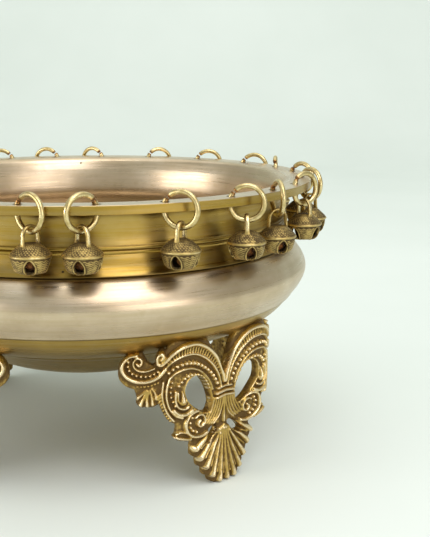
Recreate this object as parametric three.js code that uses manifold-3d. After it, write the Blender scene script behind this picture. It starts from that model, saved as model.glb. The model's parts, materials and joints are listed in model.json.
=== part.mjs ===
// A brass urli: a wide, shallow turned bowl with a flat rim flange, on four cast openwork feet.
// Open wire rings hang in holes drilled round the flange, and each carries a cast jingle bell.
// Millimetres, +Z up. The origin is on the bowl's axis, at the surface that the feet stand on.
// An azimuth is counted from -Y towards +X, so 0 is the front and 90 the right-hand side.

import * as THREE from 'three';
import { mergeVertices } from 'three/addons/utils/BufferGeometryUtils.js';
import Module from 'manifold-3d';

const wasm = await Module();
wasm.setup();

// Bowl
const RIM_RADIUS = 125;
const RIM_TOP = 146.5;
const RIM_THICKNESS = 4.3;
const NECK_RADIUS = 110.6;
const BELLY_RADIUS = 123.1;
const BELLY_HEIGHT = 98; // where the bowl is widest under its neck
const WALL = 3.5;
const BOWL_SEGMENTS = 46;

// Rim holes, and the open wire rings in them
const RING_COUNT = 23;
const FIRST_HOLE = -7.8;
const HOLE_CIRCLE_RADIUS = 119.5;
const HOLE_RADIUS = 2.3;
const HOLE_SIDES = 8;
const WIRE_RADIUS = 1.3;
const WIRE_SIDES = 6;
const WIRE_STEPS = 13; // straight lengths that the ring is made of
const RING_RADIUS = 8.1;
const RING_DROP = 3.2; // from the rim's top to the ring's centre
const RING_REACH = 7.7; // from the hole's axis to the ring's centre
const RING_CUT_ANGLE = 138; // where the wire's ends meet, from the side away from the hole
const RING_CUT_GAP = 6; // degrees between the two ends

// One row for each ring, counted by azimuth: how far its hole is from even spacing, how far the
// ring is turned from pointing straight out, and how its bell's slots lie. All in degrees.
const RING_ROWS = [
  [1, 58, 45], [1.9, -58, 42], [1, 45, 6], [2.4, 50, 14], [2.4, -42, 2], [0.6, 58, 10],
  [1.2, -50, 20], [0.4, -58, 35], [-2.8, 60, 0], [-1.6, -58, 15], [1.3, -58, 40], [3, -58, 8],
  [2.6, 58, 25], [1.4, 58, 44], [0.4, 52, 12], [1, -58, 30], [0, 45, 5], [1, -50, 38],
  [0, 58, 18], [-0.4, 48, 42], [0.6, -55, 3], [0, 50, 28], [0, -50, 16],
];

// Bells, from the wire they hang on
const LOOP_RADIUS = 4.2;
const LOOP_CENTRE = -1.7;
const LOOP_FOOT = -6;
const LOOP_THICKNESS = 1.1;
const LOOP_WIDTH = 1.8;
const BELL_SEGMENTS = 8;
const SLOT_WIDTH = 3.4;
const SLOT_TOP = -11.8;
const SLOT_BOTTOM = -17.3;
const SLOT_CUT_LENGTH = 24; // a slot's cut runs right through the bell

// Feet: a plate with both its wings bent back, and its ornament cut through
const FOOT_COUNT = 4;
const FIRST_FOOT = 45;
const FOOT_DISTANCE = 106.5; // from the bowl's axis to the middle of the plate
const FOOT_THICKNESS = 7;
const WING_START = 31.8; // along the plate, from its middle
const WING_BEND = 45;
const FOOT_GAP = 0.3; // clearance to the bowl's underside

const radians = THREE.MathUtils.degToRad;
const point = (x, y) => new THREE.Vector2(x, y);

function solid(geometry) {
  const bare = geometry.clone();
  bare.deleteAttribute('normal');
  bare.deleteAttribute('uv');
  const merged = mergeVertices(bare, 1e-4);
  return new wasm.Manifold(new wasm.Mesh({
    numProp: 3,
    vertProperties: new Float32Array(merged.attributes.position.array),
    triVerts: new Uint32Array(merged.index.array),
  }));
}

function geometryOf(manifold) {
  const { vertProperties, triVerts } = manifold.getMesh();
  const geometry = new THREE.BufferGeometry();
  geometry.setAttribute('position', new THREE.BufferAttribute(vertProperties, 3));
  geometry.setIndex(new THREE.BufferAttribute(triVerts, 1));
  geometry.computeVertexNormals();
  return geometry;
}

function lathe(points, segments) {
  const geometry = new THREE.LatheGeometry(points, segments);
  return geometry.rotateX(Math.PI / 2);
}

const brass = new THREE.MeshStandardMaterial({ color: 0xb59a68, roughness: 0.34, metalness: 1 });
const wire = new THREE.MeshStandardMaterial({ color: 0xc9ad6a, roughness: 0.22, metalness: 1 });
const bellBrass = new THREE.MeshStandardMaterial({ color: 0x8d7340, roughness: 0.45, metalness: 1 });
const footBrass = new THREE.MeshStandardMaterial({ color: 0xa2843f, roughness: 0.4, metalness: 1 });

// The bowl's outside, from the middle of the base up to the rim's top edge
const outside = [
  point(0, 43.5), point(40, 43.9), point(60, 51), point(74.1, 60.4), point(80.9, 64.2),
  point(92, 67.6), point(104, 73), point(111, 78.4), point(115.6, 84.5), point(121, 91.5),
  point(BELLY_RADIUS, BELLY_HEIGHT), point(119.6, 106.2), point(115, 112), point(111.6, 118),
  point(NECK_RADIUS, 123), point(NECK_RADIUS, 138), point(112.4, RIM_TOP - RIM_THICKNESS),
  point(RIM_RADIUS, RIM_TOP - RIM_THICKNESS), point(RIM_RADIUS, RIM_TOP),
];

// Its inside, from the rim down to the middle
const inside = [
  point(113.4, RIM_TOP), point(109, 144), point(NECK_RADIUS - WALL, 138),
  point(NECK_RADIUS - WALL, 121.6), point(111.4, 112.4), point(117, 104.6),
  point(BELLY_RADIUS - WALL, BELLY_HEIGHT), point(116.6, 91), point(110, 83.2), point(100, 75.8),
  point(78, 68), point(56, 55), point(38, 47.6), point(0, 47),
];

function holeAzimuth(index) {
  const [drift] = RING_ROWS[index];
  return FIRST_HOLE + index * 360 / RING_COUNT + drift;
}

// Turns a piece modelled with +X pointing outwards to its azimuth
const spin = azimuth => radians(azimuth - 90);

function bowl() {
  const blank = lathe([...outside, ...inside], BOWL_SEGMENTS);
  let body = solid(blank);
  const drillLength = 3 * RIM_THICKNESS;
  for (let index = 0; index < RING_COUNT; index += 1) {
    const hole = new THREE.CylinderGeometry(HOLE_RADIUS, HOLE_RADIUS, drillLength, HOLE_SIDES);
    hole.rotateX(Math.PI / 2);
    hole.translate(HOLE_CIRCLE_RADIUS, 0, RIM_TOP);
    hole.rotateZ(spin(holeAzimuth(index)));
    body = body.subtract(solid(hole));
  }
  return body;
}

// One half of a foot's outline, in the plate before it is bent: x along it from the middle, y up.
// It runs from the toe up the outer edge to the scroll head, then back along the arch.
function footOutline() {
  const half = [
    [7, 0], [10.9, 4.5], [12.6, 8.6], [16.9, 12.1], [18.6, 17.2], [21.4, 23.4], [23.2, 26.8],
    [33.8, 30.4], [30.9, 34.8], [34.6, 37.6], [38, 42.2], [40.8, 47.3], [50, 45.2], [51.9, 52.7],
    [57.8, 56.8], [59.7, 61.6], [58.2, 67.1], [53.5, 72.2], [47.6, 72.2], [45.8, 67.7], [43.1, 65.1],
    [40.7, 66.5], [39, 72.6], [32.4, 77], [23, 79.5], [12, 78], [6.6, 70.9], [3.3, 63.5], [0, 57],
  ];
  const outline = new THREE.Shape();
  outline.moveTo(...half[0]);
  for (const [x, y] of half.slice(1)) outline.lineTo(x, y);
  for (const [x, y] of half.slice(0, -1).reverse()) outline.lineTo(-x, y);
  outline.closePath();
  for (const side of [1, -1]) {
    outline.holes.push(
      ellipse(side * 18.4, 48.6, 6.2, 9.4, side * 0.32, 12),
      ellipse(side * 9.6, 28, 2.6, 4.2, side * -0.7, 8),
    );
  }
  return outline;
}

function ellipse(x, y, halfWidth, halfHeight, tilt, sides) {
  const curve = new THREE.EllipseCurve(x, y, halfWidth, halfHeight, 0, 2 * Math.PI, true, tilt);
  return new THREE.Path(curve.getPoints(sides));
}

function foot(underside) {
  const cast = new THREE.ExtrudeGeometry(footOutline(), {
    depth: FOOT_THICKNESS, steps: 1, bevelEnabled: false,
  });
  cast.translate(-WING_START, 0, -FOOT_THICKNESS);
  const plate = solid(cast);
  const middle = plate
    .trimByPlane([-1, 0, 0], 0)
    .trimByPlane([1, 0, 0], -2 * WING_START)
    .translate([WING_START, 0, FOOT_THICKNESS / 2]);
  const wing = plate
    .trimByPlane([1, 0, 0], 0)
    .rotate([0, WING_BEND, 0])
    .translate([WING_START, 0, FOOT_THICKNESS / 2]);
  return middle
    .add(wing)
    .add(wing.mirror([1, 0, 0]))
    .rotate([90, 0, 90])
    .translate([FOOT_DISTANCE, 0, 0])
    .subtract(underside);
}

// The bowl's outside again, grown by the gap, to trim the top of the feet to the curve
function footTrimmer() {
  const grown = outside
    .filter(({ y }) => y <= BELLY_HEIGHT)
    .map(({ x, y }) => point(x === 0 ? 0 : x + FOOT_GAP, y - FOOT_GAP));
  return solid(lathe([...grown, point(0, grown.at(-1).y)], BOWL_SEGMENTS));
}

class Arc extends THREE.Curve {
  constructor(radius, start, end) {
    super();
    Object.assign(this, { radius, start, end });
  }

  getPoint(along, target = new THREE.Vector3()) {
    const angle = radians(this.start + (this.end - this.start) * along);
    return target.set(this.radius * Math.cos(angle), 0, this.radius * Math.sin(angle));
  }
}

function polygon(radius, sides) {
  const corners = [];
  for (let corner = 0; corner < sides; corner += 1) {
    const angle = (corner + 0.5) * 2 * Math.PI / sides;
    corners.push(point(radius * Math.cos(angle), radius * Math.sin(angle)));
  }
  return new THREE.Shape(corners);
}

// An open jump ring, standing in the XZ plane round its own centre
function ring() {
  const start = RING_CUT_ANGLE + RING_CUT_GAP / 2;
  return new THREE.ExtrudeGeometry(polygon(WIRE_RADIUS, WIRE_SIDES), {
    steps: WIRE_STEPS,
    extrudePath: new Arc(RING_RADIUS, start, start + 360 - RING_CUT_GAP),
  });
}

// The bell's hollow body of revolution: the outside down to its base, then the inside back up
const bellOutside = [
  point(0, -4.7), point(4.8, -5.7), point(9.3, -10.2), point(8.9, -11.6), point(7.8, -14.8),
  point(4.8, -18.2), point(0, -18.6),
];
const bellInside = [
  point(0, -17.4), point(4.1, -17), point(7.6, -11.4), point(4.2, -6.9), point(0, -5.9),
];

function bell(slotYaw) {
  const shell = solid(lathe([...bellOutside].reverse(), BELL_SEGMENTS));
  const hollow = solid(lathe(bellInside, BELL_SEGMENTS));
  let body = shell.subtract(hollow);
  for (const turn of [0, 90]) {
    const slot = new THREE.BoxGeometry(SLOT_CUT_LENGTH, SLOT_WIDTH, SLOT_TOP - SLOT_BOTTOM);
    slot.translate(0, 0, (SLOT_TOP + SLOT_BOTTOM) / 2);
    slot.rotateZ(radians(turn + 180 / BELL_SEGMENTS));
    body = body.subtract(solid(slot));
  }
  const yaw = slotYaw + 90 - 180 / BELL_SEGMENTS;
  return body.rotate([0, 0, yaw]).add(loop().subtract(hollow));
}

// The strap that the bell hangs by: a U in the YZ plane, its two ends sunk in the bell's top
function loop() {
  const outer = LOOP_RADIUS + LOOP_THICKNESS / 2;
  const inner = LOOP_RADIUS - LOOP_THICKNESS / 2;
  const strap = new THREE.Shape();
  strap.moveTo(outer, LOOP_FOOT);
  strap.absarc(0, LOOP_CENTRE, outer, 0, Math.PI, false);
  strap.lineTo(-outer, LOOP_FOOT);
  strap.lineTo(-inner, LOOP_FOOT);
  strap.absarc(0, LOOP_CENTRE, inner, Math.PI, 0, true);
  strap.lineTo(inner, LOOP_FOOT);
  const geometry = new THREE.ExtrudeGeometry(strap, {
    depth: LOOP_WIDTH, steps: 1, bevelEnabled: false, curveSegments: 3,
  });
  geometry.translate(0, 0, -LOOP_WIDTH / 2);
  geometry.rotateX(Math.PI / 2);
  geometry.rotateZ(Math.PI / 2);
  return solid(geometry);
}

function named(name, geometry, material) {
  const mesh = new THREE.Mesh(geometry, material);
  mesh.name = name;
  return mesh;
}

const number = index => String(index + 1).padStart(2, '0');

const urli = new THREE.Group();
urli.add(named('bowl', geometryOf(bowl()), brass));

const footGeometry = geometryOf(foot(footTrimmer()));
for (let index = 0; index < FOOT_COUNT; index += 1) {
  const piece = named(`foot_${number(index)}`, footGeometry, footBrass);
  piece.rotation.z = spin(FIRST_FOOT + index * 360 / FOOT_COUNT);
  urli.add(piece);
}

const ringGeometry = geometryOf(solid(ring()));
for (let index = 0; index < RING_COUNT; index += 1) {
  const [, turn, slotYaw] = RING_ROWS[index];
  const place = new THREE.Group();
  place.rotation.z = spin(holeAzimuth(index));
  const swivel = new THREE.Group();
  swivel.position.set(HOLE_CIRCLE_RADIUS, 0, RIM_TOP - RING_DROP);
  swivel.rotation.z = radians(turn);
  const hanging = named(`rim_ring_${number(index)}`, ringGeometry, wire);
  hanging.position.x = RING_REACH;
  const jingle = named(`bell_${number(index)}`, geometryOf(bell(slotYaw)), bellBrass);
  jingle.position.set(RING_REACH, 0, -RING_RADIUS);
  swivel.add(hanging, jingle);
  place.add(swivel);
  urli.add(place);
}

export default urli;
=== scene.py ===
"""A brass urli: a turned bowl on four cast feet, with jingle bells on rings round its rim.

Shapes are worked out in millimetres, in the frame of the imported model, and stored in metres.
"""

import json
import math
import random

import bpy
import numpy as np
from mathutils import Matrix, Vector


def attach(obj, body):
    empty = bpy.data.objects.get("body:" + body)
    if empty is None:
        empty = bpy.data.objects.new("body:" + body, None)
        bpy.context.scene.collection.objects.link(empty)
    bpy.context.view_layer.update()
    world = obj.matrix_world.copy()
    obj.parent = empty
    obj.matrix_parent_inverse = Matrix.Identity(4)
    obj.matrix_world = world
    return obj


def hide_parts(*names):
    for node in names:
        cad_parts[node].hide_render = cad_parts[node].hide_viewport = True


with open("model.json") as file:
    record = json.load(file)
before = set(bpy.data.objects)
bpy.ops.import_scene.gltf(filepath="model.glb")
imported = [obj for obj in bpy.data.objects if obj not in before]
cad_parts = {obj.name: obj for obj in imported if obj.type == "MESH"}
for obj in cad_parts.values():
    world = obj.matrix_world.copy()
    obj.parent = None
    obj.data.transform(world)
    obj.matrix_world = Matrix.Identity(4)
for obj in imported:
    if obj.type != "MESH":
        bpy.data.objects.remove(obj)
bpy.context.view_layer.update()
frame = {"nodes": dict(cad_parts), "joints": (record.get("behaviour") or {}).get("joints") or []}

MM = 0.001
JOINTS = {joint["name"]: joint for joint in frame["joints"]}
FIXED_BODY = "bowl_and_feet"
COUNT = sum(name.startswith("bell_") for name in frame["nodes"])

# Bowl
RIM_RADIUS = 125
RIM_TOP = 146.5
RIM_THICKNESS = 4.3
NECK_RADIUS = 110.6
WALL = 3.5
HOLE_RADIUS = 2.2
BOWL_SEGMENTS = 288

# Rings and bells
RING_RADIUS = 8.1
WIRE_RADIUS = 1.3
CUT_ANGLE = 138
CUT_GAP = 6
LOOP_RADIUS = 4.2
LOOP_CENTRE = -1.7
LOOP_FOOT = -6.2
BELL_WALL = 1.1
PELLET_RADIUS = 3.1
SLOT_YAWS = [45, 42, 6, 14, 2, 10, 20, 35, 0, 15, 40, 8, 25, 44, 12, 30, 5, 38, 18, 42, 3, 28, 16]

# Feet
FOOT_AZIMUTHS = [45, 135, 225, 315]
FOOT_DISTANCE = 106.5
FOOT_FRONT = 3.0
WING_START = 24.8
WING_RADIUS = 17.0
WING_BEND = math.radians(45)
FOOT_CELL = 0.32
FOOT_HALF_WIDTH = 65.2
FOOT_HEIGHT = 83

# Camera
CAMERA_PLACE = (0.0721, -0.5243, 0.2035)
CAMERA_LENS = 62.88
CAMERA_PITCH = math.radians(90 - 11.88)
CAMERA_ROLL = math.radians(0.22)


# ---------------------------------------------------------------- shapes from arrays

def make_mesh(name, points, faces, sharp=None, **attributes):
    """A mesh from points in millimetres. Each attribute is one number for each point."""
    mesh = bpy.data.meshes.new(name)
    mesh.from_pydata((np.asarray(points, float) * MM).tolist(), [], [list(map(int, f)) for f in faces])
    for key, values in attributes.items():
        mesh.attributes.new(key, "FLOAT", "POINT").data.foreach_set("value", np.asarray(values, np.float32))
    mesh.polygons.foreach_set("use_smooth", [True] * len(mesh.polygons))
    if sharp:
        mesh.set_sharp_from_angle(angle=math.radians(sharp))
    mesh.validate()
    return mesh


def add_piece(name, mesh, material, body, replaces=()):
    piece = bpy.data.objects.new(name, mesh)
    bpy.context.scene.collection.objects.link(piece)
    mesh.materials.clear()
    mesh.materials.append(material)
    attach(piece, body)
    if replaces:
        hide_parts(*replaces)
    return piece


def spline(points, step=0.25, closed=False):
    """Points about one step apart, on a smooth curve through the ones given."""
    p = np.asarray(points, float)
    if closed:
        p = np.vstack([p[-1], p, p[0], p[1]])
    else:
        p = np.vstack([2 * p[0] - p[1], p, 2 * p[-1] - p[-2]])
    out = []
    for a, b, c, d in zip(p, p[1:], p[2:], p[3:]):
        t = np.linspace(0, 1, max(2, int(np.linalg.norm(c - b) / step) + 1), endpoint=False)[:, None]
        out.append(0.5 * (2 * b + (c - a) * t + (2 * a - 5 * b + 4 * c - d) * t ** 2
                          + (3 * b - a - 3 * c + d) * t ** 3))
    if not closed:
        out.append(p[-2:-1])
    return np.vstack(out)


def revolve(profile, segments):
    """Points and faces of a closed profile of (radius, height), turned about the Z axis."""
    profile = np.asarray(profile, float)
    turn = np.linspace(0, 2 * math.pi, segments, endpoint=False)
    r, z = profile[:, 0], profile[:, 1]
    points = np.stack([np.outer(np.cos(turn), r), np.outer(np.sin(turn), r), np.tile(z, (segments, 1))], -1)
    count = len(profile)
    i, j = np.meshgrid(np.arange(segments), np.arange(count - 1), indexing="ij")
    k = (i + 1) % segments
    faces = np.stack([i * count + j, k * count + j, k * count + j + 1, i * count + j + 1], -1)
    return points.reshape(-1, 3), faces.reshape(-1, 4)


def grid_shell(front, back, keep, wrap=False):
    """Points and faces of a thick sheet: the kept cells of two grids, walled along their edges."""
    rows, columns = front.shape[:2]
    index = np.arange(rows * columns).reshape(rows, columns)
    after = np.roll(index, -1, axis=0) if wrap else index[1:]
    low, high = (index, after) if wrap else (index[:-1], after)
    quad = np.stack([low[:, :-1], high[:, :-1], high[:, 1:], low[:, 1:]], -1)
    total = rows * columns
    faces = [quad[keep], (quad[keep] + total)[:, ::-1]]
    padded = np.pad(keep, ((0, 0), (1, 1)))
    first, last = (np.roll(keep, 1, 0), np.roll(keep, -1, 0)) if wrap else (
        np.pad(keep, ((1, 0), (0, 0)))[:-1], np.pad(keep, ((0, 1), (0, 0)))[1:])
    sides = ((~first, (0, 3)), (~last, (2, 1)), (~padded[:, :-2], (1, 0)), (~padded[:, 2:], (3, 2)))
    for bare, (a, b) in sides:
        edge = quad[keep & bare]
        faces.append(np.stack([edge[:, a], edge[:, b], edge[:, b] + total, edge[:, a] + total], -1))
    faces = np.vstack(faces)
    points = np.vstack([front.reshape(-1, 3), back.reshape(-1, 3)])
    used, faces = np.unique(faces, return_inverse=True)
    return points[used], faces.reshape(-1, 4), used


def sweep(path, across, up, section):
    """A closed tube: the section's (across, up) points carried along the path, with flat ends."""
    sides = len(section)
    points = (path[:, None] + section[None, :, :1] * across[:, None] + section[None, :, 1:] * up[:, None])
    i, j = np.meshgrid(np.arange(len(path) - 1), np.arange(sides), indexing="ij")
    k = (j + 1) % sides
    faces = np.stack([i * sides + j, i * sides + k, (i + 1) * sides + k, (i + 1) * sides + j], -1)
    faces = faces.reshape(-1, 4).tolist()
    faces += [list(range(sides))[::-1], list(range((len(path) - 1) * sides, len(path) * sides))]
    return points.reshape(-1, 3), faces


def blurred(field, cells):
    """The field averaged over a bell of that many cells, both ways."""
    reach = int(cells * 3) + 1
    weight = np.exp(-0.5 * (np.arange(-reach, reach + 1) / cells) ** 2)
    weight /= weight.sum()
    for axis in (0, 1):
        padded = np.pad(field, [(reach, reach) if a == axis else (0, 0) for a in (0, 1)], mode="edge")
        length = field.shape[axis]
        field = sum(w * np.take(padded, range(k, k + length), axis) for k, w in enumerate(weight))
    return field


# ---------------------------------------------------------------- materials

class Material:
    """A node material, built up node by node."""

    def __init__(self, name):
        self.material = bpy.data.materials.new(name)
        self.material.use_nodes = True
        self.tree = self.material.node_tree
        self.shader = self.tree.nodes["Principled BSDF"]

    def put(self, socket, value):
        if isinstance(value, bpy.types.NodeSocket):
            self.tree.links.new(value, socket)
        else:
            socket.default_value = value

    def node(self, kind, inputs=(), output=0, **settings):
        made = self.tree.nodes.new("ShaderNode" + kind)
        for key, value in settings.items():
            setattr(made, key, value)
        for key, value in dict(inputs).items():
            self.put(made.inputs[key], value)
        return made.outputs[output]

    def math(self, operation, a, b=0.0):
        return self.node("Math", {0: a, 1: b}, operation=operation)

    def object_point(self):
        return self.node("TexCoord", output="Object")

    def noise(self, vector, scale, detail=3.0, roughness=0.55):
        inputs = {"Vector": vector, "Scale": scale, "Detail": detail, "Roughness": roughness}
        return self.node("TexNoise", inputs)

    def ramp(self, factor, *stops):
        made = self.tree.nodes.new("ShaderNodeValToRGB")
        self.put(made.inputs[0], factor)
        elements = made.color_ramp.elements
        while len(elements) < len(stops):
            elements.new(0.5)
        for element, (position, colour) in zip(elements, stops):
            element.position = position
            element.color = (*colour, 1) if hasattr(colour, "__len__") else (colour, colour, colour, 1)
        return made.outputs[0]

    def mix(self, factor, a, b, blend="MIX"):
        made = self.tree.nodes.new("ShaderNodeMix")
        made.data_type = "RGBA"
        made.blend_type = blend
        for socket, value in ((made.inputs[0], factor), (made.inputs[6], a), (made.inputs[7], b)):
            self.put(socket, (*value, 1) if isinstance(value, tuple) and len(value) == 3 else value)
        return made.outputs[2]

    def bump(self, height, strength, distance, before=None):
        inputs = {"Height": height, "Strength": strength, "Distance": distance}
        if before is not None:
            inputs["Normal"] = before
        return self.node("Bump", inputs)

    def finish(self, **sockets):
        for key, value in sockets.items():
            self.put(self.shader.inputs[key.replace("_", " ")], value)
        return self.material


def turned_brass():
    """Satin brass off a lathe: fine lines round the axis, soft mottling and a few pits, with painted shade: a
    darker copy on the neck, the flange's edge and the underside, and dark lines along the grooves and under
    the flange.
    """
    m = Material("turned_brass")
    place = m.object_point()
    x, y, z = (m.node("SeparateXYZ", {0: place}, output=k) for k in range(3))
    radius = m.math("SQRT", m.math("ADD", m.math("MULTIPLY", x, x), m.math("MULTIPLY", y, y)))
    turn = m.math("MULTIPLY", m.math("ARCTAN2", y, x), 0.004)
    round_the_axis = m.node("CombineXYZ", {0: radius, 1: z, 2: turn})
    fine = m.noise(round_the_axis, 2600, 2.0)
    lines = m.noise(round_the_axis, 520, 3.0, 0.7)
    mottle = m.noise(place, 34, 4.0)
    stain = m.noise(place, 160, 3.0)
    tone = m.ramp(mottle, (0.3, (0.50, 0.385, 0.26)), (0.55, (0.62, 0.495, 0.35)),
                  (0.75, (0.72, 0.605, 0.46)))
    # A darker copy of the brass, painted on the neck, the flange's edge and the underside as shade and dark
    # reflection
    shaded_tone = m.ramp(mottle, (0.3, (0.31, 0.19, 0.03)), (0.55, (0.39, 0.25, 0.042)), (0.75, (0.47, 0.325, 0.08)))
    tone = m.mix(m.node("Attribute", attribute_name="shade_zone", output="Fac"), tone, shaded_tone)
    tone = m.mix(m.ramp(lines, (0.35, 0.0), (0.75, 0.42)), tone, (0.48, 0.37, 0.19))
    tone = m.mix(m.ramp(stain, (0.58, 0.0), (0.8, 0.3)), tone, (0.42, 0.31, 0.15))
    # Painted shade: darker lines along the turned grooves, and a painted shadow under the flange
    line_shade = m.node("Attribute", attribute_name="line_shade", output="Fac")
    tone = m.mix(line_shade, tone, (0.11, 0.075, 0.03))
    pits = m.node("TexVoronoi", {"Vector": place, "Scale": 105.0}, feature="F1")
    pit = m.ramp(pits, (0.035, 1.0), (0.075, 0.0))
    rare = m.ramp(m.noise(place, 75, 1.0), (0.56, 0.0), (0.6, 1.0))
    pit = m.math("MULTIPLY", pit, rare)
    tone = m.mix(pit, tone, (0.06, 0.045, 0.03))
    rough = m.node("MapRange", {"Value": m.noise(round_the_axis, 900, 3.0), "From Min": 0.3, "From Max": 0.7,
                                "To Min": 0.25, "To Max": 0.38})
    bump = m.bump(fine, 0.22, 0.00006)
    bump = m.bump(lines, 0.3, 0.00012, bump)
    bump = m.bump(pit, 0.6, -0.0003, bump)
    return m.finish(Base_Color=tone, Metallic=1.0, Roughness=rough, Normal=bump)


def wire_brass():
    """Drawn wire, rubbed bright, dull where it was cut."""
    m = Material("wire_brass")
    place = m.object_point()
    rust = m.node("Attribute", attribute_name="cut", output="Fac")
    dull = m.noise(place, 420, 3.0)
    tone = m.ramp(dull, (0.32, (0.50, 0.38, 0.155)), (0.52, (0.66, 0.52, 0.25)), (0.7, (0.75, 0.62, 0.34)))
    tone = m.mix(m.ramp(m.math("MULTIPLY", rust, m.math("ADD", dull, 0.5)), (0.35, 0.0), (0.8, 1.0)),
                 tone, (0.27, 0.13, 0.04))
    rough = m.node("MapRange", {"Value": dull, "From Min": 0.3, "From Max": 0.7,
                                "To Min": 0.34, "To Max": 0.24})
    bump = m.bump(m.noise(place, 1900, 2.0), 0.25, 0.00008)
    return m.finish(Base_Color=tone, Metallic=1.0, Roughness=rough, Normal=bump)


def cast_brass(name, dark, middle, bright, grain, shine):
    """Cast brass with dark tarnish in its hollows, rubbed bright where it stands proud."""
    m = Material(name)
    place = m.object_point()
    worn = m.node("Attribute", attribute_name="worn", output="Fac")
    soft = m.noise(place, grain * 0.3, 4.0)
    fine = m.noise(place, grain, 4.0, 0.65)
    speckle = m.math("MULTIPLY", m.math("SUBTRACT", fine, 0.5), 0.55)
    drift = m.math("MULTIPLY", m.math("SUBTRACT", soft, 0.5), 0.5)
    height = m.math("ADD", m.math("ADD", worn, speckle), drift)
    tone = m.ramp(height, (0.2, dark), (0.42, middle), (0.62, middle), (0.86, bright))
    metal = m.ramp(height, (0.12, 0.55), (0.45, 1.0))
    rough = m.ramp(height, (0.2, 0.62), (0.5, shine + 0.12), (0.85, shine))
    bump = m.bump(fine, 0.6, 0.0004)
    bump = m.bump(m.noise(place, grain * 3, 2.0), 0.3, 0.00008, bump)
    return m.finish(Base_Color=tone, Metallic=metal, Roughness=rough, Normal=bump)


def rusty_iron():
    m = Material("rusty_iron")
    place = m.object_point()
    patches = m.noise(place, 700, 5.0, 0.7)
    tone = m.ramp(patches, (0.35, (0.055, 0.03, 0.02)), (0.5, (0.26, 0.09, 0.02)), (0.68, (0.62, 0.24, 0.05)))
    bump = m.bump(patches, 0.8, 0.0003)
    return m.finish(Base_Color=tone, Metallic=0.15, Roughness=0.8, Normal=bump)


def backdrop_paint():
    m = Material("pale_backdrop")
    place = m.object_point()
    tone = m.ramp(m.noise(place, 2.2, 3.0), (0.3, (0.735, 0.79, 0.74)), (0.7, (0.79, 0.84, 0.795)))
    return m.finish(Base_Color=tone, Roughness=0.9, Normal=m.bump(m.noise(place, 900, 2.0), 0.05, 0.0004))


# ---------------------------------------------------------------- bowl

def bowl_profile():
    """Half the bowl's section, from the middle of the base, up the outside and down the inside."""
    flange = RIM_TOP - RIM_THICKNESS
    inner = NECK_RADIUS - WALL
    stretches = [
        [(0, 43.6), (36, 43.5)],
        spline([(36, 43.5), (39.4, 44), (48, 46.4), (60, 51), (70, 57.2), (77.6, 62.2)], 3),
        spline([(77.6, 62.2), (79.6, 63.1), (80.9, 64), (81.3, 64.9), (82.4, 65.2)], 0.5),
        spline([(82.4, 65.2), (92, 67.9), (104, 73.1), (110.4, 78), (114.4, 82.6)], 3),
        spline([(114.4, 82.6), (115.2, 83.7), (116, 84), (116.5, 84.9), (117, 85.6)], 0.5),
        spline([(117, 85.6), (120.6, 90.6), (122.8, 95.4), (123, 99.6), (121.2, 104.2), (118, 108.6),
                (115.7, 111.2)], 2),
        spline([(115.7, 111.2), (115, 111.6), (114.2, 112), (114.7, 112.6), (114.5, 113.1)], 0.3),
        spline([(114.5, 113.1), (112.6, 116), (111.3, 119.4), (110.7, 122)], 1),
        spline([(110.7, 122), (111, 122.5), (111.1, 123), (111, 123.5), (110.6, 123.9), (111, 124.4),
                (111.1, 124.9), (111, 125.4), (110.6, 126)], 0.3),
        spline([(110.6, 126), (110.2, 130), (110.3, 136), (110.8, 139.4), (112.2, 141.5), (114, flange)], 1),
        [(118, flange), (122, flange), (RIM_RADIUS - 0.7, flange), (RIM_RADIUS - 0.25, flange)],
        [(RIM_RADIUS, flange + 0.25), (RIM_RADIUS, flange + 0.7), (RIM_RADIUS - 0.05, flange + 2.1),
         (RIM_RADIUS, RIM_TOP - 0.7), (RIM_RADIUS, RIM_TOP - 0.25)],
        [(RIM_RADIUS - 0.25, RIM_TOP), (RIM_RADIUS - 0.7, RIM_TOP), (122, RIM_TOP), (117, RIM_TOP)],
        spline([(114, RIM_TOP), (111.4, 146), (109.6, 144.6), (108.4, 142), (inner, 138.5)], 0.8),
        spline([(inner - 0.7, 134), (inner - 1.8, 126), (inner - 1.4, 121.4), (108.2, 116.6), (111.3, 112.4),
                (115, 107.8), (118.2, 103), (119.5, 98), (118.6, 94), (115.6, 89.2), (110, 83.2), (100, 75.9),
                (88, 71), (78, 67.4), (67, 61.6), (56, 55), (46, 50.2), (36, 47.6), (22, 47)], 2),
        [(0, 47)],
    ]
    return np.vstack([np.asarray(s, float) for s in stretches])


# Painted shade along the turned grooves, and a painted shadow under the flange: radius, height, width and
# strength
SHADE_LINES = [(114.2, 112, 0.75, 1.0), (115.3, 84, 0.8, 0.9), (81.2, 64.6, 0.9, 0.9),
               (110.6, 123.9, 0.5, 0.6), (110.6, 126, 0.5, 0.4), (111.6, 141.2, 1.8, 0.7)]


def bowl_shade_zone(radius, height):
    """Where a darker copy of the brass is painted on as shade and dark reflection: the neck, the flange's
    edge and the underside, not the belly.
    """
    profile = bowl_profile()
    neck = profile[:int(np.argmax(profile[:, 1] > RIM_TOP - RIM_THICKNESS - 0.3))]
    outside = radius > np.interp(height, neck[:, 1], neck[:, 0]) - 3
    belly = (height > 84.2) & (height < 111.9)
    flange = height > neck[-1, 1]
    flange_shaded = (radius > RIM_RADIUS - 0.1) | ((height < RIM_TOP - 4) & (radius > 110))
    return np.where(flange, flange_shaded, outside & ~belly).astype(np.float32)


def applied(piece):
    """The piece's mesh with its modifiers taken in."""
    made = bpy.data.meshes.new_from_object(piece.evaluated_get(bpy.context.evaluated_depsgraph_get()))
    piece.modifiers.clear()
    return made


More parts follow.
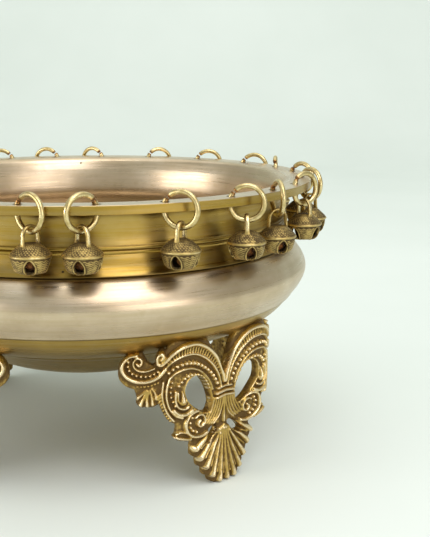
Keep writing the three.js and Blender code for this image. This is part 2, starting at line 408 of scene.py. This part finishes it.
def make_bowl(material):
    points, faces = revolve(bowl_profile(), BOWL_SEGMENTS)
    raw = make_mesh("bowl_blank", points, faces)
    blank = bpy.data.objects.new("bowl_blank", raw)
    bpy.context.scene.collection.objects.link(blank)
    weld = blank.modifiers.new("weld", "WELD")
    weld.merge_threshold = 0.01 * MM
    section = np.array([(HOLE_RADIUS * math.cos(a), HOLE_RADIUS * math.sin(a))
                        for a in np.linspace(0, 2 * math.pi, 24, endpoint=False)])
    cut_points, cut_faces = [], []
    for index in range(COUNT):
        hole = Vector(JOINTS[f"ring_{index + 1:02d}_swivel"]["pos_m"]) / MM
        path = np.array([[hole.x, hole.y, RIM_TOP + 4], [hole.x, hole.y, RIM_TOP - RIM_THICKNESS - 2.5]])
        p, f = sweep(path, np.tile([1.0, 0, 0], (2, 1)), np.tile([0, 1.0, 0], (2, 1)), section)
        cut_faces += [[k + 2 * 24 * index for k in face][::-1] for face in f]
        cut_points.append(p)
    drills = bpy.data.objects.new("drills", make_mesh("drills", np.vstack(cut_points), cut_faces))
    bpy.context.scene.collection.objects.link(drills)
    cut = blank.modifiers.new("holes", "BOOLEAN")
    cut.object = drills
    cut.solver = "EXACT"
    mesh = applied(blank)
    for spare in (blank, drills):
        bpy.data.objects.remove(spare)
    mesh.polygons.foreach_set("use_smooth", [True] * len(mesh.polygons))
    mesh.set_sharp_from_angle(angle=math.radians(32))
    place = np.empty(3 * len(mesh.vertices), np.float32)
    mesh.vertices.foreach_get("co", place)
    place = place.reshape(-1, 3) / MM
    radius = np.hypot(place[:, 0], place[:, 1])
    # Painted shade along the turned grooves, and a painted shadow under the flange
    line_shade = np.zeros(len(place), np.float32)
    for line_radius, height, width, depth in SHADE_LINES:
        gap = np.hypot(radius - line_radius, place[:, 2] - height)
        line_shade = np.maximum(line_shade, depth * np.exp(-(gap / width) ** 2))
    mesh.attributes.new("line_shade", "FLOAT", "POINT").data.foreach_set("value", line_shade)
    # Painted shade: a darker copy of the brass on the neck, the flange's edge and the underside, not the
    # belly
    shade_zone = bowl_shade_zone(radius, place[:, 2])
    mesh.attributes.new("shade_zone", "FLOAT", "POINT").data.foreach_set("value", shade_zone)
    return add_piece("turned_bowl", mesh, material, FIXED_BODY, ["bowl"])


# ---------------------------------------------------------------- rings and bells

def hanging_frame(number):
    """Where a ring's lowest point is, the ring's level direction, and the direction across it."""
    swing = JOINTS[f"bell_{number}_swing"]
    low = np.array(swing["pos_m"]) / MM
    along = -np.array(swing["axis"], float)
    along /= np.linalg.norm(along)
    return low, along, np.cross([0, 0, 1], along)


def make_ring(number, material):
    low, along, across = hanging_frame(number)
    centre = low + [0, 0, RING_RADIUS]
    start = CUT_ANGLE + CUT_GAP / 2
    angle = np.radians(np.linspace(start, start + 360 - CUT_GAP, 97))
    outward = np.outer(np.cos(angle), along) + np.outer(np.sin(angle), [0, 0, 1])
    skew = np.linspace(-0.28, 0.28, len(angle))
    path = centre + RING_RADIUS * outward + skew[:, None] * across
    corner = np.linspace(0, 2 * math.pi, 18, endpoint=False)
    points, faces = sweep(path, outward, np.tile(across, (len(path), 1)),
                          WIRE_RADIUS * np.stack([np.cos(corner), np.sin(corner)], -1))
    rings = points.reshape(len(path), -1, 3)
    for end, share in ((0, 0.82), (1, 0.95), (-1, 0.82), (-2, 0.95)):
        rings[end] = path[end] + (rings[end] - path[end]) * share
    step = np.abs(np.arange(len(path)) - (len(path) - 1) / 2) / ((len(path) - 1) / 2)
    rust = np.repeat(np.clip((step - 0.93) / 0.06, 0, 1), len(corner))
    mesh = make_mesh(f"ring_{number}", rings.reshape(-1, 3), faces, sharp=50, cut=rust)
    return add_piece(f"wire_ring_{number}", mesh, material, f"ring_{number}",
                     [f"rim_ring_{number}"])


BELL_COLUMNS = 128
BELL_SLOT_TOP = -11.3
BELL_SLOT_BOTTOM = -18.4
BELL_SLOT_WIDTH = 4.4


def bell_body():
    """The bell's shell about its own axis, with slots at 0, 90, 180 and 270 degrees."""
    profile = spline([(0.02, -4.75), (2.6, -5), (4.8, -5.8), (6.6, -7.3), (8.3, -8.9), (8.9, -9.6)], 0.36)
    profile = np.vstack([profile, spline([(8.95, -9.7), (9.35, -10), (9.4, -10.4), (9.15, -10.85),
                                          (8.75, -11.1)], 0.3)])
    profile = np.vstack([profile, spline([(8.7, -11.3), (8.5, -12.8), (8, -14.8), (7.2, -16.7),
                                          (5.7, -18), (2.6, -18.45), (0.02, -18.55)], 0.36)])
    r, z = profile[:, 0], profile[:, 1]
    slope = np.gradient(profile, axis=0)
    slope /= np.linalg.norm(slope, axis=1)[:, None]
    normal = np.stack([-slope[:, 1], slope[:, 0]], -1)
    length = np.concatenate([[0], np.cumsum(np.linalg.norm(np.diff(profile, axis=0), axis=1))])
    turn = np.linspace(0, 2 * math.pi, BELL_COLUMNS, endpoint=False)[:, None]

    quarter = (turn + math.pi / 4) % (math.pi / 2) - math.pi / 4
    share = (z - (BELL_SLOT_TOP + BELL_SLOT_BOTTOM) / 2) / ((BELL_SLOT_TOP - BELL_SLOT_BOTTOM) / 2)
    taper = np.abs(share) ** np.where(share < 0, 5, 1.7)
    half = BELL_SLOT_WIDTH / 2 * np.clip(1 - taper, 0, 1) ** 0.85
    past_end = np.clip(np.abs(share) - 1, 0, None) * (BELL_SLOT_TOP - BELL_SLOT_BOTTOM) / 2
    gap = np.hypot(np.clip(np.abs(quarter) * r - half, 0, None), past_end)
    inside_slot = (np.abs(quarter) * r < half) & (np.abs(share) < 1)
    gap = np.where(inside_slot, (np.abs(quarter) * r - half) * 0.9, gap)

    dome = (z > -9.6) & (r > 2.6)
    grains = 0.15 * (0.5 + 0.5 * np.cos(34 * turn + math.pi * np.round(length / 0.95)))
    grains = grains * (0.5 + 0.5 * np.cos(2 * math.pi * length / 0.95)) * dome
    panel = (z < -11.6) & (z > -18)
    scales = 0.16 * (0.5 + 0.5 * np.cos(2 * math.pi * (length + 0.32 * np.cos(20 * turn)) / 0.98)) ** 1.5
    scales = scales * panel * np.clip((gap - 1) / 0.5, 0, 1)
    border = 0.26 * np.exp(-((gap - 0.3) / 0.22) ** 2) * (z < -11.2)
    relief = grains + scales + border
    band = 0.25 * np.exp(-((z + 10.3) / 0.5) ** 2)
    relief_seen = relief + band + 0 * turn

    keep_point = gap > -0.02
    corners = [keep_point, np.roll(keep_point, -1, 0)]
    keep = (corners[0][:, :-1].astype(int) + corners[0][:, 1:] + corners[1][:, :-1] + corners[1][:, 1:]) >= 3
    # The slot's edge: each corner just inside it moves out sideways to the slot's true outline
    pull = np.where(inside_slot, (half - np.abs(quarter) * r) / np.clip(r, 1, None), 0)
    turned = turn + np.sign(quarter) * np.clip(pull, 0, 0.07)

    def surface(offset):
        rr = np.clip(r + normal[:, 0] * offset, 0, None)
        zz = z + normal[:, 1] * offset + 0 * turn
        return np.stack([rr * np.cos(turned), rr * np.sin(turned), zz], -1)

    points, faces, used = grid_shell(surface(relief), surface(-BELL_WALL + 0 * relief), keep, wrap=True)
    worn = np.concatenate([(0.18 + 2.1 * relief_seen).ravel(), np.full(relief.size, 0.1)])[used]
    return points, faces, worn


def bell_loop():
    """The strap the bell hangs by, standing across the ring, its feet sunk in the dome."""
    angle = np.radians(np.linspace(0, 180, 25))
    arc = np.stack([0 * angle, LOOP_RADIUS * np.cos(angle), LOOP_CENTRE + LOOP_RADIUS * np.sin(angle)], -1)
    leg = np.array([[0, LOOP_RADIUS, h] for h in np.linspace(LOOP_FOOT, LOOP_CENTRE - 0.5, 7)])
    path = np.vstack([leg, arc, (leg * [1, -1, 1])[::-1]])
    path[:, 1] *= 1 + 0.06 * np.clip((LOOP_CENTRE - path[:, 2]) / 4, 0, 1)
    tangent = np.gradient(path, axis=0)
    tangent /= np.linalg.norm(tangent, axis=1)[:, None]
    across = np.tile([1.0, 0, 0], (len(path), 1))
    outward = np.cross(tangent, across)
    corner = np.linspace(0, 2 * math.pi, 16, endpoint=False)
    section = np.stack([1.1 * np.sign(np.cos(corner)) * np.abs(np.cos(corner)) ** 0.7,
                        0.68 * np.sign(np.sin(corner)) * np.abs(np.sin(corner)) ** 0.8], -1)
    points, faces = sweep(path, across, outward, section)
    foot = np.clip((-4.6 - points[:, 2]) / 1.4, 0, 1)
    points[:, 0] *= 1 + 0.5 * foot
    edge = np.tile(0.34 + 0.5 * np.abs(np.sin(corner)) ** 2, len(path))
    return points, faces, edge * (1 - 0.6 * foot)


def make_bell(index, body, loop, material):
    number = f"{index + 1:02d}"
    low, along, across = hanging_frame(number)
    axes = np.stack([along, across, [0, 0, 1]])
    yaw = math.radians(SLOT_YAWS[index] + 90)
    spin = np.array([[math.cos(yaw), math.sin(yaw), 0], [-math.sin(yaw), math.cos(yaw), 0], [0, 0, 1]])
    points = np.vstack([body[0] @ spin, loop[0]]) @ axes + low
    shift = len(body[0])
    faces = body[1].tolist() + [[k + shift for k in face] for face in loop[1]]
    mesh = make_mesh(f"bell_{number}", points, faces, sharp=55, worn=np.concatenate([body[2], loop[2]]))
    return add_piece(f"jingle_bell_{number}", mesh, material, f"bell_{number}",
                     [f"bell_{number}"])


def make_pellet(index, material):
    """The loose iron lump that rests on the bell's floor."""
    number = f"{index + 1:02d}"
    low, along, across = hanging_frame(number)
    dice = random.Random(index)
    lobes = [(np.array([dice.gauss(0, 1) for _ in range(3)]), dice.uniform(0.6, 1.4)) for _ in range(7)]
    around, down = np.meshgrid(np.linspace(0, 2 * math.pi, 28, endpoint=False),
                               np.linspace(0.02, math.pi - 0.02, 15), indexing="ij")
    way = np.stack([np.sin(down) * np.cos(around), np.sin(down) * np.sin(around), np.cos(down)], -1)
    size = 1 + sum(0.035 * np.sin(3 * weight * (way @ lobe)) for lobe, weight in lobes)
    centre = low + [0, 0, -17.3 + PELLET_RADIUS] + 0.8 * along
    points = centre + PELLET_RADIUS * size[..., None] * way
    rows, columns = points.shape[:2]
    i, j = np.meshgrid(np.arange(rows), np.arange(columns - 1), indexing="ij")
    k = (i + 1) % rows
    faces = np.stack([i * columns + j, i * columns + j + 1, k * columns + j + 1, k * columns + j], -1)
    faces = faces.reshape(-1, 4).tolist()
    faces += [[row * columns for row in range(rows)],
              [row * columns + columns - 1 for row in range(rows)][::-1]]
    mesh = make_mesh(f"pellet_{number}", points.reshape(-1, 3), faces)
    return add_piece(f"pellet_{number}", mesh, material, f"bell_{number}")


# ---------------------------------------------------------------- feet

# The foot's points were chosen on a plate curved in plan. These offsets carry them onto the bent plate:
# how far along it a point is, then how far it moves along and up.
PLATE_OFFSETS = np.array([
    (0, 0, -0.6), (7, -2, -1.1), (12, -2.1, -1.1), (20, -1.6, -0.8), (26, -0.7, -0.3), (31, -0.4, 0),
    (35, -0.9, 0), (40, -2, -0.2), (44, -3, -0.7), (50, -3.7, -1.8), (56, -4.1, -2.7), (66, -4.3, -3.6),
])
TOE_FADE = 10
EYE_PIVOT_SHIFT = -0.6
EYE_STRETCH = (1.13, 1.1)
EYE_SHIFT = -0.5


def tenth(value):
    """The value rounded to a tenth of a millimetre."""
    return round(float(value), 1)


def on_plate(points):
    """The points moved onto the bent plate. The offsets fade out towards the toe's flat face."""
    at, sideways, upwards = PLATE_OFFSETS.T
    moved = []
    for along, up in points:
        fade = min(1, up / TOE_FADE)
        moved.append((tenth(along + np.interp(along, at, sideways) * fade),
                      tenth(up + np.interp(along, at, upwards) * fade)))
    return moved


def stretched_eye():
    """The large opening, widened about a pivot near its middle."""
    points = on_plate(FOOT_EYE)
    middle_x = sum(x for x, _ in points) / len(points) + EYE_PIVOT_SHIFT
    middle_y = sum(y for _, y in points) / len(points)
    return [(tenth(middle_x + (x - middle_x) * EYE_STRETCH[0] + EYE_SHIFT),
             tenth(middle_y + (y - middle_y) * EYE_STRETCH[1])) for x, y in points]


# Half of the foot's outline, in smooth stretches that meet at sharp tips and notches: x along the
# plate from its middle, y up from the floor, from the toe up to the scroll head and back along the arch
FOOT_EDGE = [
    [(0, 0), (7, 0)],
    [(7, 0), (9.6, 1.6), (11.4, 4.8)],
    [(11.4, 4.8), (14.6, 6.6), (15.6, 10.4)],
    [(15.6, 10.4), (18.4, 12.4), (19.2, 16.4)],
    [(19.2, 16.4), (21.8, 18.8), (22, 23), (21.2, 25.8)],
    [(21.2, 25.8), (25, 26.6), (30.4, 27.8), (34.8, 30.3)],
    [(34.8, 30.3), (32.4, 31.6), (31.2, 34.6)],
    [(31.2, 34.6), (32.4, 36.4), (34.4, 37.2)],
    [(34.4, 37.2), (37.6, 38.8), (40.9, 42.4), (43.6, 47.4)],
    [(43.6, 47.4), (46.8, 46.6), (50, 47), (54, 47.8)],
    [(54, 47.8), (55.8, 50.4), (55.6, 53.4), (56.6, 57)],
    [(56.6, 57), (60.6, 58.8), (63.4, 62), (64.4, 66), (63.2, 70.8), (60, 74.4), (56, 75.8), (52.4, 75.2)],
    [(52.4, 75.2), (51, 72.4), (49.2, 69.4), (47, 68), (45.4, 68.6)],
    [(45.4, 68.6), (45.4, 71.6), (43.6, 74.2), (41, 74.8), (38.8, 74.2)],
    [(38.8, 74.2), (34.6, 77.4), (28, 79.6), (20, 80.4), (13.6, 78), (8.4, 71.6), (4.6, 64.4), (1.8, 59.6),
     (0, 58.2)],
]
FOOT_EYE = [(25.8, 52.4), (24.7, 56), (21.2, 58.3), (17.4, 57.2), (14.4, 53.2), (12.3, 48), (11.9, 43.8),
            (13.8, 40.6), (17.6, 41.8), (21.6, 45), (24.6, 48.6)]
FOOT_SLOT = [(14.9, 24.3), (13.6, 27), (10.8, 29.8), (7.4, 31.2), (5.6, 30.6), (6.4, 28.2), (9.4, 25.6),
             (12.6, 24)]

# Rounded ridges of the ornament: half width, height, and the line each one follows
RIDGES = [
    (1.3, 2.7, [(0.6, 53), (3.4, 60), (8.4, 67.6), (14.6, 73.2), (21.4, 76), (28.2, 75.4), (34, 72.6),
                (38.2, 69.4), (41.6, 67.6), (44, 69), (43.7, 72), (41.4, 73), (39.9, 71.4), (41.2, 70)]),
    (0.75, 2.1, [(3.2, 51), (5.4, 57), (9.6, 62.9), (15.2, 68), (21.6, 71), (28, 71), (33.6, 69),
                 (38, 66.4)]),
    (0.6, 1.7, [(9.8, 50.6), (12.4, 56), (17, 61), (22.6, 63.8), (28, 64), (33, 62.4), (36.2, 60)]),
    (0.85, 2.3, [(36.2, 60.6), (38.1, 55.6), (38.3, 50.6), (36.5, 45.6), (33.1, 41.6), (29, 39.8)]),
    (0.8, 2.2, [(32.6, 53.4), (32.7, 48.6), (30.8, 45.2), (27.6, 44.2), (25.2, 45.2)]),
    (0.6, 2.0, [(31, 52.6), (31, 49), (29.6, 46.9), (27.6, 46.7), (26.4, 48.6)]),
    (1.15, 2.4, [(33.6, 44), (30.6, 41.8), (26.8, 41.4), (23.2, 42.8)]),
    (0.8, 2.2, [(40.2, 58.8), (41, 52.4), (39.8, 46.8), (37.2, 42.4), (33.8, 38.8)]),
    (0.85, 1.9, [(24, 27.9), (28.8, 28.9), (33.8, 30.3)]),
    (0.6, 1.6, [(26.4, 31.4), (29.6, 32.4), (32.4, 31.4)]),
    (1.0, 2.5, [(13.6, 39.6), (16.6, 41), (20.6, 42), (24.9, 40.4), (27, 36.4), (26, 31.9), (22.4, 29),
                (17.8, 28.4), (14, 29.4)]),
    (0.75, 2.3, [(21.4, 38.4), (19.2, 39.5), (16.7, 38.8), (15.4, 36.5), (16.2, 34.1), (18.5, 33.4),
                 (19.8, 35.2), (18.3, 36.7)]),
    (0.9, 2.9, [(0, 46), (7.8, 45.6)]),
    (1.0, 3.2, [(0, 48.3), (8, 48)]),
    (0.8, 2.7, [(0, 50.5), (6.6, 50.4)]),
    (1.3, 2.8, [(39, 65.4), (43.2, 62), (49, 60.7), (55, 61.4), (59.7, 64), (62, 67.8), (61.4, 71.6),
                (58.6, 74.2), (54.8, 74.5)]),
    (0.6, 1.9, [(45.6, 66.4), (49.8, 65.8), (53.4, 66.3), (56, 68.3), (56.5, 71), (54.6, 72.9)]),
    (0.8, 2.3, [(54.8, 73), (52.8, 72.2), (52.2, 70.2), (53.6, 68.9), (54.8, 70.2)]),
]

# Rows of beads: radius, height, spacing, and the line each row follows
BEADS = [
    (1.15, 2.5, 2.7, [(7, 53.4), (10.4, 58.6), (15.4, 63.2), (21.2, 66.3), (27, 67), (32.6, 65.7),
                     (36.8, 63.4)]),
    (0.95, 2.3, 2.25, [(12.4, 51.6), (14.6, 56), (18.6, 59.6), (23.2, 60.7), (27.6, 59.4), (30.6, 56.2)]),
    (0.8, 2.0, 2.5, [(34.6, 58.2), (35.6, 54.2), (35, 49.8), (33, 46.2)]),
    (0.95, 2.2, 2.5, [(23.2, 38.8), (24.5, 35.6), (23.4, 32.6), (20.6, 31)]),
    (0.95, 2.4, 2.1, [(43.6, 64.6), (48, 63.2), (53, 63.7), (57, 65.6), (59.1, 68.6), (58.9, 71.6)]),
    (0.6, 1.5, 1.6, [(43.8, 58.8), (49, 57.9), (54.6, 58.6)]),
    (0.7, 1.7, 1.9, [(1.6, 55.4), (4.2, 53.6), (6.2, 52.6)]),
]

# Petals and ribs that swell from root to tip: root and tip half widths, root and tip heights, line
PETALS = [
    (0.5, 1.5, 1.4, 2.9, [(28.6, 52.8), (28.5, 48.2)]),
    (0.5, 1.1, 1.2, 1.9, [(50, 56.2), (52.6, 54.4), (55, 52.8)]),
    (0.5, 1.2, 1.2, 2.0, [(49.6, 55.6), (51.8, 52), (53.2, 49.2)]),
    (0.5, 1.2, 1.2, 2.0, [(49, 55.6), (49.8, 51.6), (49.8, 48.6)]),
    (0.5, 1.1, 1.2, 1.9, [(48.2, 55.8), (47.2, 52), (46.8, 48.6)]),
    (0.5, 1.0, 1.2, 1.8, [(47, 56.4), (45.2, 53.6), (44.8, 51)]),
]
PALMETTE_TIPS = [(0, 2), (5.2, 2.1), (9.6, 5.4), (13.6, 10.2), (17.2, 15.6), (19.6, 21.4)]


class Relief:
    """Heights on one half of the foot's face, on a square grid."""

    def __init__(self):
        self.x = np.arange(0, FOOT_HALF_WIDTH, FOOT_CELL)
        self.y = np.arange(0, FOOT_HEIGHT, FOOT_CELL)
        self.height = np.zeros((len(self.x), len(self.y)))

    def stamp(self, x, y, radius, height):
        i0, i1 = np.searchsorted(self.x, [x - radius, x + radius])
        j0, j1 = np.searchsorted(self.y, [y - radius, y + radius])
        if i0 >= i1 or j0 >= j1:
            return
        off = ((self.x[i0:i1, None] - x) ** 2 + (self.y[None, j0:j1] - y) ** 2) / radius ** 2
        part = self.height[i0:i1, j0:j1]
        np.maximum(part, height * np.sqrt(np.clip(1 - off, 0, 1)), out=part)

    def swell(self, points, radii, heights):
        line = spline(points, 0.2)
        for k, (x, y) in enumerate(line):
            share = k / max(1, len(line) - 1)
            self.stamp(x, y, radii[0] + (radii[1] - radii[0]) * share,
                       heights[0] + (heights[1] - heights[0]) * share)

    def beads(self, points, radius, height, spacing):
        line = spline(points, 0.1)
        length = np.concatenate([[0], np.cumsum(np.linalg.norm(np.diff(line, axis=0), axis=1))])
        for at in np.linspace(0, length[-1], int(round(length[-1] / spacing)) + 1):
            self.stamp(np.interp(at, length, line[:, 0]), np.interp(at, length, line[:, 1]), radius, height)

    def hatch(self, one, other, count, radius, height):
        """Short ribs from one line across to the other."""
        a, b = spline(one, 0.3), spline(other, 0.3)
        for share in np.linspace(0, 1, count):
            start, end = a[int(share * (len(a) - 1))], b[int(share * (len(b) - 1))]
            self.swell([start, end], (radius, radius), (height, height))


def foot_relief():
    relief = Relief()
    for radius, height, points in RIDGES:
        relief.swell(on_plate(points), (radius, radius), (height, height))
    for radius, height, spacing, points in BEADS:
        relief.beads(on_plate(points), radius, height, spacing)
    for root, tip, low, high, points in PETALS:
        relief.swell(on_plate(points), (root, tip), (low, high))
    # Ribs of the arch, between its border and the ridge inside it, and of the long leaf
    relief.hatch(on_plate([(5.4, 57), (9.6, 62.9), (15.2, 68), (21.6, 71), (28, 71), (33.6, 69), (37, 67)]),
                 on_plate([(2.8, 58.6), (7, 65.6), (13, 72), (20.4, 75.6), (27.6, 75.2), (33.4, 72.8),
                           (37.6, 69.6)]),
                 24, 0.5, 1.7)
    relief.hatch(on_plate([(41, 54), (40.4, 48.6), (38, 43.6), (34.6, 39.4)]),
                 on_plate([(44, 51.6), (43, 47.2), (40.2, 42.2), (36.4, 38.6)]), 10, 0.5, 1.6)
    # The stems that run from the tie down into the lower scroll
    for k in range(6):
        stem = [(0.8 + 1.55 * k, 44.6), (1.6 + 1.75 * k, 39.6), (3.6 + 2.0 * k, 34.8),
                (7.2 + 1.6 * k, 31.4 + 0.4 * k)]
        relief.swell(stem, (0.75, 0.6), (2.0, 1.6))
    relief.swell([(0, 44.5), (0, 31)], (0.9, 0.9), (1.9, 1.9))
    # The palmette: long ribs that fan from its root, with a fine one between each two
    for k, (x, y) in enumerate(PALMETTE_TIPS):
        root = (0.55 * k, 29.4 - 0.35 * k)
        bend = (x * 0.42 + 0.4 * k, 29 + (y - 29) * 0.5 + 0.35 * k)
        relief.swell([root, bend, (x, y)], (0.6, 1.75), (2.0, 2.8))
        if k:
            before = PALMETTE_TIPS[k - 1]
            between = ((x + before[0]) / 2 * 0.9, (y + before[1]) / 2 + 2.4)
            start = (between[0] * 0.45, 29 + (between[1] - 29) * 0.45)
            relief.swell([start, between], (0.35, 0.7), (1.4, 2.2))
    relief.beads([(0.6, 27.6), (3.4, 25.6)], 1.0, 2.9, 2.8)
    return relief


def outline_distance(x, y, loop):
    """How far each point is inside (above zero) or outside a closed loop."""
    nearest = np.full(x.shape, 1e9)
    inside = np.zeros(x.shape, bool)
    for (ax, ay), (bx, by) in zip(loop, np.roll(loop, -1, axis=0)):
        dx, dy = bx - ax, by - ay
        length = dx * dx + dy * dy
        if length < 1e-9:
            continue
        share = np.clip(((x - ax) * dx + (y - ay) * dy) / length, 0, 1)
        nearest = np.minimum(nearest, (x - ax - share * dx) ** 2 + (y - ay - share * dy) ** 2)
        if ay != by:
            inside ^= ((ay > y) != (by > y)) & (x < (bx - ax) * (y - ay) / (by - ay) + ax)
    return np.where(inside, 1, -1) * np.sqrt(nearest)


def underside_height(radius):
    """The height of the bowl's underside at each radius."""
    profile = bowl_profile()
    below = profile[:int(np.argmax(profile[:, 0] > 122))]
    return np.interp(radius, below[:, 0], below[:, 1])


def bent_plate(along, offset):
    """Out from the bowl's axis, and sideways: the plate is flat in the middle, its wings bent back."""
    angle = np.clip((np.abs(along) - WING_START) / WING_RADIUS, 0, WING_BEND)
    radius = WING_RADIUS + offset - FOOT_FRONT
    straight = np.clip(np.abs(along) - WING_START - WING_RADIUS * WING_BEND, 0, None)
    out = FOOT_DISTANCE + FOOT_FRONT - WING_RADIUS + radius * np.cos(angle) - straight * math.sin(WING_BEND)
    side = np.minimum(np.abs(along), WING_START) + radius * np.sin(angle) + straight * math.cos(WING_BEND)
    return out, side * np.sign(along)


def foot_shape():
    relief = foot_relief()
    x, y = np.meshgrid(relief.x, relief.y, indexing="ij")
    half = np.vstack([spline(on_plate(stretch), 0.8) for stretch in FOOT_EDGE])
    loop = np.vstack([half, [(-0.01, y0) for y0 in (58.2, 0)]])
    # Along the middle the two halves join, so the loop runs well past it there
    loop[-2:, 0] = -20
    holes = (stretched_eye(), on_plate(FOOT_SLOT))
    gaps = [outline_distance(x, y, spline(hole, 0.8, closed=True)) for hole in holes]
    reach = np.hypot(*bent_plate(x, 0))
    inside = np.minimum.reduce([outline_distance(x, y, loop), -gaps[0], -gaps[1],
                                underside_height(reach) + 0.8 - y])

    height = relief.height
    height = np.maximum(height, 1.5 * np.exp(-((-gaps[0] - 0.8) / 0.45) ** 2))
    height = blurred(height, 0.8)
    hollow = height - blurred(height, 4.5)
    worn = np.clip(0.36 + 0.5 * hollow + 0.06 * height - 0.1 * np.clip(1 - y / 30, 0, 1), 0, 1)

    # Mirror everything about the middle
    def both(field, sign=1):
        return np.vstack([sign * field[:0:-1], field])
    x, y = both(x, -1), both(y)
    inside, height, worn = both(inside), both(height), both(worn)

    slope = np.stack(np.gradient(inside, FOOT_CELL), -1)
    keep_point = inside > 0
    corners_kept = (keep_point[:-1, :-1].astype(int) + keep_point[1:, :-1]
                    + keep_point[:-1, 1:] + keep_point[1:, 1:])
    keep = corners_kept >= 2
    near = np.clip(inside, -2 * FOOT_CELL, None)
    rim = np.where(inside < 0.5 * FOOT_CELL, near, 0)
    x, y = x - slope[..., 0] * rim, y - slope[..., 1] * rim
    y = np.clip(y, 0, None)
    edge = np.sqrt(np.clip(1 - (1 - np.clip(inside, 0, 1.3) / 1.3) ** 2, 0, 1))
    flare = 2.6 * np.clip(1 - y / 26, 0, 1) ** 1.6
    front = -0.6 + edge * (1.7 + height) + flare
    behind = -2.0 - edge * (1.3 - 0.25 * blurred(height, 3)) + flare * 0.6

    def bent(offset):
        return np.stack([*bent_plate(x, offset), y], -1)

    points, faces, used = grid_shell(bent(front), bent(behind), keep)
    worn = np.concatenate([worn.ravel(), np.full(worn.size, 0.3)])[used]
    return points, faces, worn


def make_feet(material):
    points, faces, worn = foot_shape()
    for index, azimuth in enumerate(FOOT_AZIMUTHS):
        angle = math.radians(azimuth - 90)
        spin = np.array([[math.cos(angle), math.sin(angle), 0],
                         [-math.sin(angle), math.cos(angle), 0],
                         [0, 0, 1]])
        name = f"{index + 1:02d}"
        mesh = make_mesh(f"foot_{name}", points @ spin, faces, worn=worn)
        add_piece(f"cast_foot_{name}", mesh, material, FIXED_BODY, [f"foot_{name}"])


# ---------------------------------------------------------------- room, lights and camera

def make_backdrop(material):
    """A floor that sweeps up behind the object in one smooth curve."""
    bend = [(1500 + 700 * math.sin(a), 700 - 700 * math.cos(a)) for a in np.linspace(0, math.pi / 2, 24)]
    line = [(-2600, 0), (-1200, 0), (0, 0), *bend, (2200, 3200)]
    sides = np.linspace(-3200, 3200, 9)
    points = [(x, y, z) for y, z in line for x in sides]
    faces = []
    for row in range(len(line) - 1):
        for column in range(len(sides) - 1):
            corner = row * len(sides) + column
            faces.append([corner, corner + 1, corner + 1 + len(sides), corner + len(sides)])
    backdrop = bpy.data.objects.new("backdrop", make_mesh("backdrop", points, faces))
    bpy.context.scene.collection.objects.link(backdrop)
    backdrop.data.materials.append(material)


def add_softbox(name, place, target, width, height, power, colour):
    light = bpy.data.lights.new(name, "AREA")
    light.shape = "RECTANGLE"
    light.size, light.size_y = width, height
    light.energy = power
    light.color = colour
    lamp = bpy.data.objects.new(name, light)
    bpy.context.scene.collection.objects.link(lamp)
    lamp.location = place
    lamp.rotation_euler = (Vector(target) - Vector(place)).to_track_quat("-Z", "Y").to_euler()


def make_lights():
    world = bpy.data.worlds.new("studio")
    world.use_nodes = True
    world.node_tree.nodes["Background"].inputs["Color"].default_value = (0.88, 0.93, 0.88, 1)
    world.node_tree.nodes["Background"].inputs["Strength"].default_value = 0.62
    bpy.context.scene.world = world
    middle = (0, 0, 0.13)
    add_softbox("overhead", (0.1, 0.5, 2.2), (0.1, 0.5, 0), 3.0, 3.0, 19, (1.0, 0.99, 0.99))
    add_softbox("wall", (0.3, -0.6, 2.0), (0.2, 2.2, 0.5), 1.5, 0.8, 10, (0.98, 1.0, 0.99))
    add_softbox("right", (1.05, -1.34, 0.42), middle, 1.1, 0.7, 5.5, (1.0, 0.95, 0.98))
    add_softbox("left", (-1.55, -0.8, 0.4), middle, 1.1, 0.7, 12, (1.0, 0.96, 0.97))
    add_softbox("high", (0.55, -1.0, 1.3), middle, 0.9, 0.8, 7.5, (1.0, 0.95, 1.0))


def make_camera():
    data = bpy.data.cameras.new("camera")
    data.sensor_width = 36
    data.lens = CAMERA_LENS
    data.clip_start = 0.02
    camera = bpy.data.objects.new("camera", data)
    bpy.context.scene.collection.objects.link(camera)
    camera.matrix_world = (Matrix.Translation(CAMERA_PLACE) @ Matrix.Rotation(CAMERA_PITCH, 4, "X")
                           @ Matrix.Rotation(CAMERA_ROLL, 4, "Z"))
    bpy.context.scene.camera = camera


make_camera()
bowl_brass = turned_brass()
ring_brass = wire_brass()
bell_brass = cast_brass("bell_brass", dark=(0.09, 0.055, 0.018), middle=(0.50, 0.36, 0.125),
                        bright=(0.92, 0.76, 0.44), grain=560, shine=0.25)
foot_brass = cast_brass("foot_brass", dark=(0.14, 0.078, 0.018), middle=(0.50, 0.335, 0.095),
                        bright=(0.84, 0.665, 0.40), grain=560, shine=0.24)
iron = rusty_iron()
make_bowl(bowl_brass)
make_feet(foot_brass)
body, loop = bell_body(), bell_loop()
for bell in range(COUNT):
    make_ring(f"{bell + 1:02d}", ring_brass)
    make_bell(bell, body, loop, bell_brass)
    make_pellet(bell, iron)
make_backdrop(backdrop_paint())
make_lights()
bpy.context.scene.view_settings.view_transform = "Standard"
